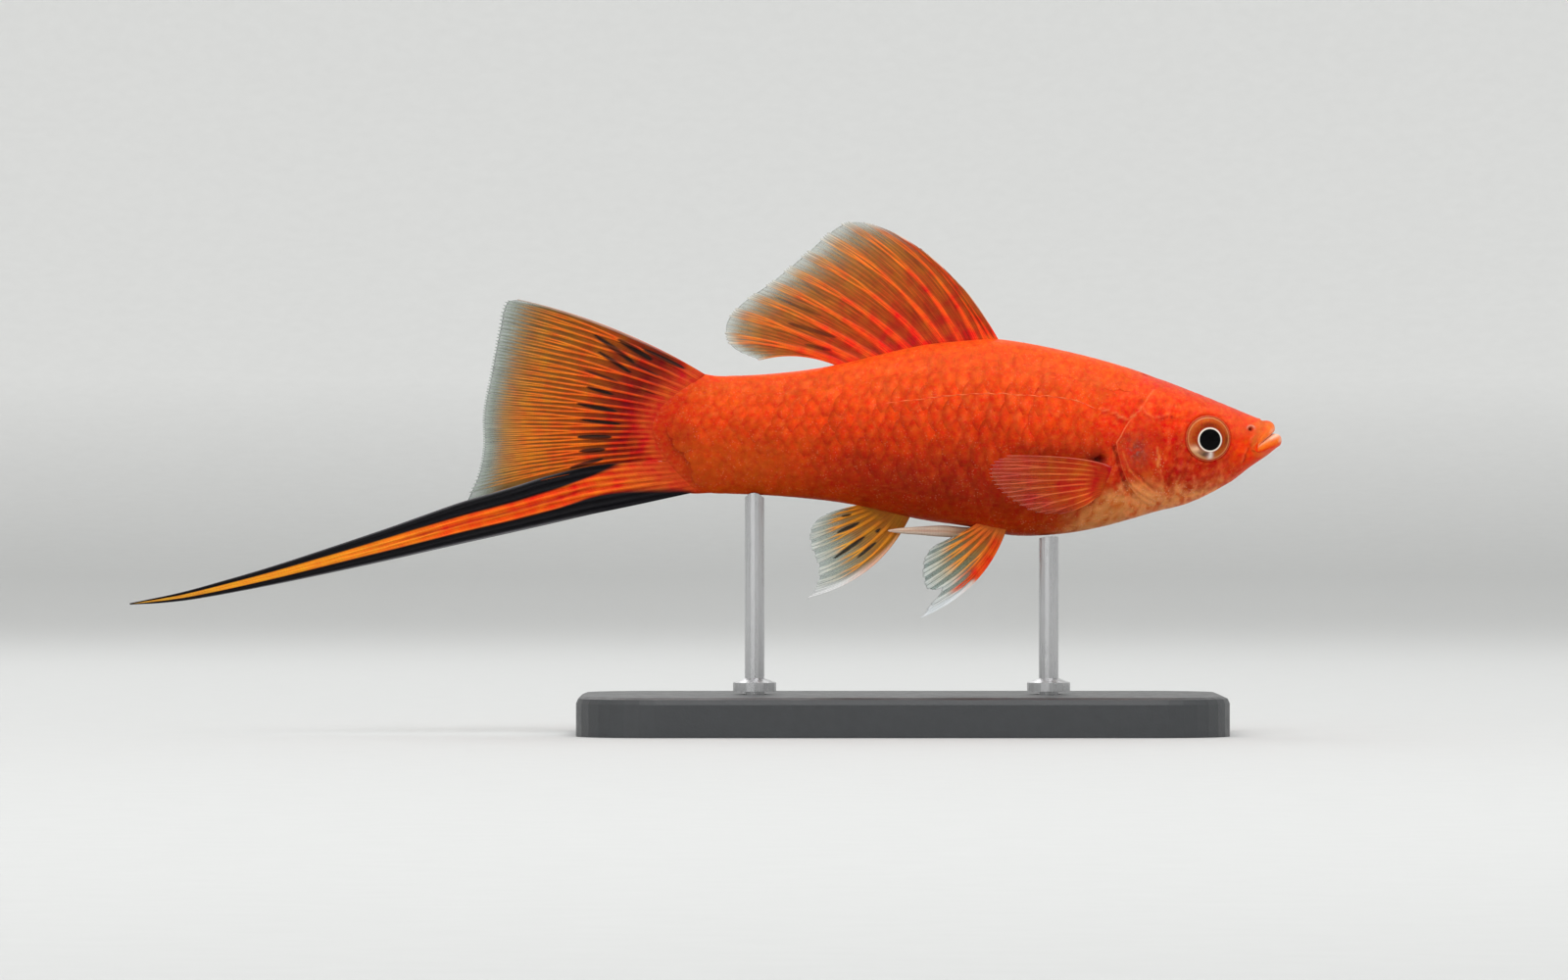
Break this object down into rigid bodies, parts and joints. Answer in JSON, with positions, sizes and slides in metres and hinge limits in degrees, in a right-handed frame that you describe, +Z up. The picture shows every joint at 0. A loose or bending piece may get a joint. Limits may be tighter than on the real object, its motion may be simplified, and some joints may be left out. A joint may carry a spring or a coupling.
{
  "type": "swordtail fish",
  "caption": "Life-size red male swordtail as a still museum model, with raised fin rays and a long black-edged sword, held level over a flat base by slender rods.",
  "frame": {"origin": "on the floor under the middle of the whole length from lower lip to sword tip", "axes": "+X towards the snout, +Z up, the fish's right flank towards -Y"},
  "size_m": [0.1174, 0.04, 0.0523],
  "materials": {
    "red_skin": "moist, softly shining orange-red fish skin",
    "orange_fin": "thin orange fin skin over raised rays",
    "pale_fin": "pale pinkish fin ray",
    "sword_black": "black-edged sword rays with an orange band",
    "eye_gold": "wet, glossy copper-brown eye",
    "stand_grey": "satin charcoal grey",
    "stand_steel": "brushed"
  },
  "bodies": {
    "root": {"head": "red_skin", "lower_jaw": "red_skin", "torso": "red_skin", "tail_stem": "red_skin", "gill_cover_left": "red_skin", "gill_cover_right": "red_skin", "eye_left": "eye_gold", "eye_right": "eye_gold", "pelvic_fin_left": "orange_fin", "pelvic_fin_right": "orange_fin", "pectoral_fin_left": "orange_fin", "pectoral_fin_right": "orange_fin", "dorsal_fin": "orange_fin", "caudal_fin": "orange_fin", "sword": "sword_black", "anal_fin": "orange_fin", "gonopodium": "pale_fin", "stand_base": "stand_grey", "stand_rod_rear": "stand_steel", "stand_rod_front": "stand_steel"}
  },
  "joints": []
}
